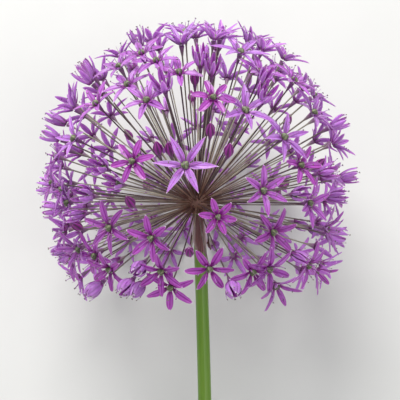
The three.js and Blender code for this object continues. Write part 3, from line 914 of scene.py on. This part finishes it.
def bud_finish():
    """Deep magenta, with painted shade in the creases and painted light on the keels, a greenish
    foot and a pale tip.
    """
    f = Finish("bud", roughness=0.38, Subsurface_Weight=0.08, Subsurface_Scale=0.001)
    along = f.value("along")
    # Painted shade and light: darker in the creases between the tepals and paler on the raised
    # keels.
    colour = f.blend(f.band(f.value("rib"), -0.9, 0.9), "4a0543", "9c2090")
    colour = f.tint(colour, "6c3a62", f.band(along, 0.12, 0.0))
    colour = f.tint(colour, "c49abf", f.band(along, 0.92, 1.0))
    streaks = f.noise(1600, 4.0)
    f.colour(f.tint(colour, "9a4a9e", streaks, 0.3))
    f.bump(streaks, 0.3, 0.1)
    return f.material


def pedicel_finish():
    """Some purple-brown, most of them towards the front as painted shade, the others grey-olive,
    most of them at the back as painted light; all painted lighter towards the root.
    """
    f = Finish("pedicel", roughness=0.42, Subsurface_Weight=0.05, Subsurface_Scale=0.001)
    along = f.value("along")
    # Painted light: both ramps are lighter at the root, over its own reddish brown, against the
    # shade in the dense bundle.
    olive = f.ramp(along, [
        (0.0, "9a7660"), (0.16, "9c8872"), (0.5, "aaa48e"), (0.93, "9c9a82"), (1.0, "8a5a86"),
    ])
    purple = f.ramp(along, [
        (0.0, "745044"), (0.16, "523634"), (0.5, "3c252c"), (0.93, "4e3040"), (1.0, "7c3f80"),
    ])
    streaks = f.math("SUBTRACT", f.noise(260, 4.0), 0.75)
    share = f.math("MULTIPLY_ADD", f.value("tone"), 0.9, streaks)
    # Painted shade and light: pedicels towards the front lean to the dark purple-brown, those at
    # the back to the pale grey-olive.
    share = f.math("MULTIPLY_ADD", f.value("front"), 0.75, share, clamp=True)
    f.colour(f.blend(share, olive, purple))
    f.bump(f.noise(3000, 3.0), 0.3, 0.06)
    return f.material


# -------------------------------- the umbel

def build_umbel():
    """Every floret, bud and pedicel of the head, in a piece for each kind of tissue."""
    outer, inner, filaments, anthers = Lofts(), Lofts(), Lofts(), Lofts()
    ovaries, styles, buds, pedicels = Lofts(), Lofts(), Lofts(), Lofts()
    for site in all_sites():
        tone = looks.random()
        add_pedicel(pedicels, site, tone)
        if site.kind == "bud":
            add_bud(buds, site)
            continue
        age = age_of(site)
        closing = closing_of(site)
        for k in range(TEPALS):
            rings, values = tepal_rings(site, k, age, closing)
            whorl = outer if k % 2 else inner
            whorl.add(rings, **values, age=age, tone=tone, own=looks.random())
            add_stamen(filaments, anthers, site, k, tone, age)
        add_pistil(ovaries, styles, site)
    add_receptacle(pedicels)

    tepal = tepal_finish()
    outer_tepals = outer.piece("outer_tepals", tepal, "florets")
    inner.piece("inner_tepals", tepal, "florets")
    filaments.piece("filaments", filament_finish(), "florets")
    anthers.piece("anthers", anther_finish(), "florets")
    ovaries.piece("ovaries", ovary_finish(), "florets")
    styles.piece("styles", style_finish(), "florets")
    buds.piece("buds", bud_finish(), "florets")
    pedicels.piece("pedicels", pedicel_finish(), "florets")
    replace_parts(outer_tepals, "umbel")


# -------------------------------- the scape

def drift_at(depth):
    """How far the scape's middle lies to the right at a depth below the receptacle."""
    return SCAPE_DRIFT * (np.maximum(depth, 0) / SCAPE_LENGTH) ** SCAPE_DRIFT_POWER


def rings_round_scape(radius, angle, y):
    """Rings round the scape's middle line, from angles in radians."""
    x = radius * np.sin(angle) + drift_at(-y)
    return np.stack([x, y, radius * np.cos(angle)], axis=-1)


def scape_finish():
    """Green with a thin waxy bloom, pale fine ridges and a fresh pale cut."""
    f = Finish("scape", roughness=0.4, Subsurface_Weight=0.06, Subsurface_Scale=0.002,
               Sheen_Weight=0.12, Sheen_Roughness=0.4)
    colour = f.ramp(f.value("along"), [(0.0, "5e8612"), (0.7, "588010"), (1.0, "66803a")])
    streaks = f.noise(420, 4.0, (1, 0.05, 0.05))
    colour = f.tint(colour, "85a03e", f.band(streaks, 0.4, 0.75), 0.3)
    colour = f.tint(colour, "7f9c42", f.band(f.value("ridge"), 0.2, 1.0), 0.3)
    colour = f.tint(colour, "46662a", f.band(f.noise(2600, 2.0), 0.66, 0.74), 0.25)
    pith = f.blend(f.band(f.noise(3400, 2.0), 0.55, 0.66), "c9d3a2", "8fa463")
    f.colour(f.tint(colour, pith, f.value("cut")))
    f.bump(f.noise(1500, 3.0, (1, 0.1, 0.1)), 0.15, 0.1)
    return f.material


def build_scape():
    """The stalk from its cut end to the receptacle, finely ridged, with its moist cut face."""
    share = rings_of("scape")[:, None]
    angle = np.radians(degrees_round("scape"))
    fine = np.sin(SCAPE_RIDGES["fine"] * angle + SCAPE_RIDGES["turn"] * share)
    ridge = fine * np.sin(SCAPE_RIDGES["broad"] * angle + SCAPE_RIDGES["offset"])
    radius = mix(SCAPE_CUT_RADIUS, SCAPE_TOP_RADIUS, share) * (1 + SCAPE_RIDGES["high"] * ridge)
    y = mix(-SCAPE_LENGTH, SCAPE_TOP, share) + 0 * angle

    cut_share = np.array(SCAPE_CUT_RINGS)[:, None]
    cut_radius = cut_share * radius[:1]
    cut_y = y[:1] + SCAPE_CUT_HOLLOW * (1 - cut_share ** 2)
    rings = rings_round_scape(
        np.concatenate([cut_radius, radius]), angle, np.concatenate([cut_y, y])
    )
    scape = Lofts()
    scape.add(
        rings,
        along=np.concatenate([0 * cut_share, share]),
        ridge=np.concatenate([0 * cut_radius, ridge]),
        cut=np.concatenate([0 * cut_share + 1, 0 * share]),
    )
    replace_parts(scape.piece("scape_skin", scape_finish(), "scape", sharp=50), "scape")


# -------------------------------- the spathe

def lobe_at(angle):
    """1 in the middle of a valve, 0 between two."""
    return np.abs(np.cos(np.radians(angle * SPATHE_VALVES / 2)))


def valve_length(angle):
    """How far a valve reaches at an angle round the scape, as in the CAD model, but ragged."""
    uneven = 1 - SPATHE_UNEVEN * (1 - np.cos(np.radians(angle - SPATHE_LONGEST_AT)))
    ragged = 1 + sum(
        deep * np.sin(np.radians(angle * count + offset)) for deep, count, offset in SPATHE_RAGS
    )
    return SPATHE_VALVE * uneven * np.sqrt(lobe_at(angle)) * ragged


def spathe_skin(angle, share, out):
    """Rings down a skin of the spathe that lies so far out from its inner one."""
    down = (SPATHE_COLLAR + valve_length(angle)) * share
    flare = SPATHE_FLARE * (down / (SPATHE_COLLAR + SPATHE_VALVE)) ** 2
    creases = np.sin(np.radians(angle * SPATHE_CREASES["count"]))
    crease = SPATHE_CREASES["deep"] * creases * (share + SPATHE_CREASES["at_rim"])
    curl = SPATHE_CURL * (1 - lobe_at(angle)) * share
    inner = SCAPE_TOP_RADIUS + SPATHE_CLEARANCE + SPATHE_INSET
    radius = inner + flare + crease + curl + out
    return rings_round_scape(radius, np.radians(angle), SPATHE_TOP - down)


def spathe_finish():
    """Dry brown-mauve paper with long dark veins, bleached along its edges."""
    f = Finish("spathe", roughness=0.7, Subsurface_Weight=0.1, Subsurface_Scale=0.001)
    veins = f.math("SINE", f.product(f.value("turn"), 40.0))
    colour = f.blend(f.band(veins, -0.2, 1.0), "7c5452", "4e2c2c")
    streaks = f.product(f.noise(900, 3.0, (1, 0.12, 1)), 0.7)
    bleached = f.math("ADD", f.value("edge"), streaks)
    colour = f.tint(colour, "a08a84", f.band(bleached, 0.6, 0.9))
    f.colour(f.tint(colour, "d4bccb", f.band(bleached, 0.85, 1.25)))
    f.bump(f.math("ADD", veins, f.noise(1500)), 0.4, 0.1)
    return f.material


def build_spathe():
    """The collar round the scape's top, split into papery valves that hang down."""
    angle = degrees_round("spathe")
    down = rings_of("spathe")[:, None]
    up = down[::-1]
    rings = np.concatenate([spathe_skin(angle, down, SPATHE_WALL), spathe_skin(angle, up, 0.0)])
    edge = SPATHE_BLEACHED["edge"] * (1 - lobe_at(angle))
    edge = edge + SPATHE_BLEACHED["tip"] * np.concatenate([down, up])
    shell = Lofts()
    shell.add(rings, joined=True, edge=edge, turn=np.radians(angle))
    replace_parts(shell.piece("spathe_valves", spathe_finish(), "spathe"), "spathe")


# -------------------------------- floor, light and camera

def build_floor():
    """A plain pale floor, wide enough to reach past the picture."""
    mesh = bpy.data.meshes.new("floor")
    half = FLOOR_HALF
    corners = [(-half, -half, 0), (half, -half, 0), (half, half, 0), (-half, half, 0)]
    mesh.from_pydata(corners, [], [(0, 1, 2, 3)])
    f = Finish("floor", roughness=0.8)
    f.colour(f.blend(f.noise(30), "d0cfcb", "d6d5d1"))
    mesh.materials.append(f.material)
    floor = bpy.data.objects.new("floor", mesh)
    bpy.context.collection.objects.link(floor)


def build_light():
    """An even sky and two large softboxes over the head."""
    world = bpy.data.worlds.new("studio")
    world.use_nodes = True
    sky = world.node_tree.nodes["Background"]
    sky.inputs["Color"].default_value = SKY_COLOUR
    sky.inputs["Strength"].default_value = SKY_STRENGTH
    bpy.context.scene.world = world
    bpy.context.scene.view_settings.view_transform = "Standard"
    for name, softbox in SOFTBOXES.items():
        light = bpy.data.lights.new(name, "AREA")
        light.shape = "DISK"
        light.size = softbox["size"]
        light.energy = softbox["watts"]
        lamp = bpy.data.objects.new(name, light)
        aim(lamp, HEAD_MIDDLE + softbox["from"], HEAD_MIDDLE)
        bpy.context.collection.objects.link(lamp)


def build_camera():
    """The photo's view: the receptacle at its pixel, and the scape upright in the picture."""
    above = math.radians(CAMERA_ABOVE)
    toward = np.array([0, math.sin(above), math.cos(above)])
    picture_right = np.array([1, 0, 0])
    picture_up = np.array([0, math.cos(above), -math.sin(above)])
    middle = PHOTO_WIDTH / 2
    right_of_it = (middle - RECEPTACLE_PIXEL[0]) * PHOTO_SCALE
    above_it = (RECEPTACLE_PIXEL[1] - middle) * PHOTO_SCALE
    target = picture_right * right_of_it + picture_up * above_it
    data = bpy.data.cameras.new("camera")
    data.sensor_width = CAMERA_SENSOR
    data.lens = CAMERA_SENSOR * CAMERA_DISTANCE / (PHOTO_SCALE * PHOTO_WIDTH)
    data.clip_start = CAMERA_NEAREST
    camera = bpy.data.objects.new("camera", data)
    aim(camera, lay(target + toward * CAMERA_DISTANCE), lay(target))
    bpy.context.collection.objects.link(camera)
    bpy.context.scene.camera = camera


def aim(thing, place, target):
    """Turns a light or camera, with its top towards +Y, to look from its place at a target."""
    back = unit(place - target)
    right = unit(np.cross([0.0, 1.0, 0.0], back))
    up = np.cross(back, right)
    turn = mathutils.Matrix(np.array([right, up, back]).T.tolist())
    thing.matrix_world = mathutils.Matrix.LocRotScale(mathutils.Vector(place), turn, None)


build_floor()
build_light()
build_camera()
build_scape()
build_spathe()
build_umbel()
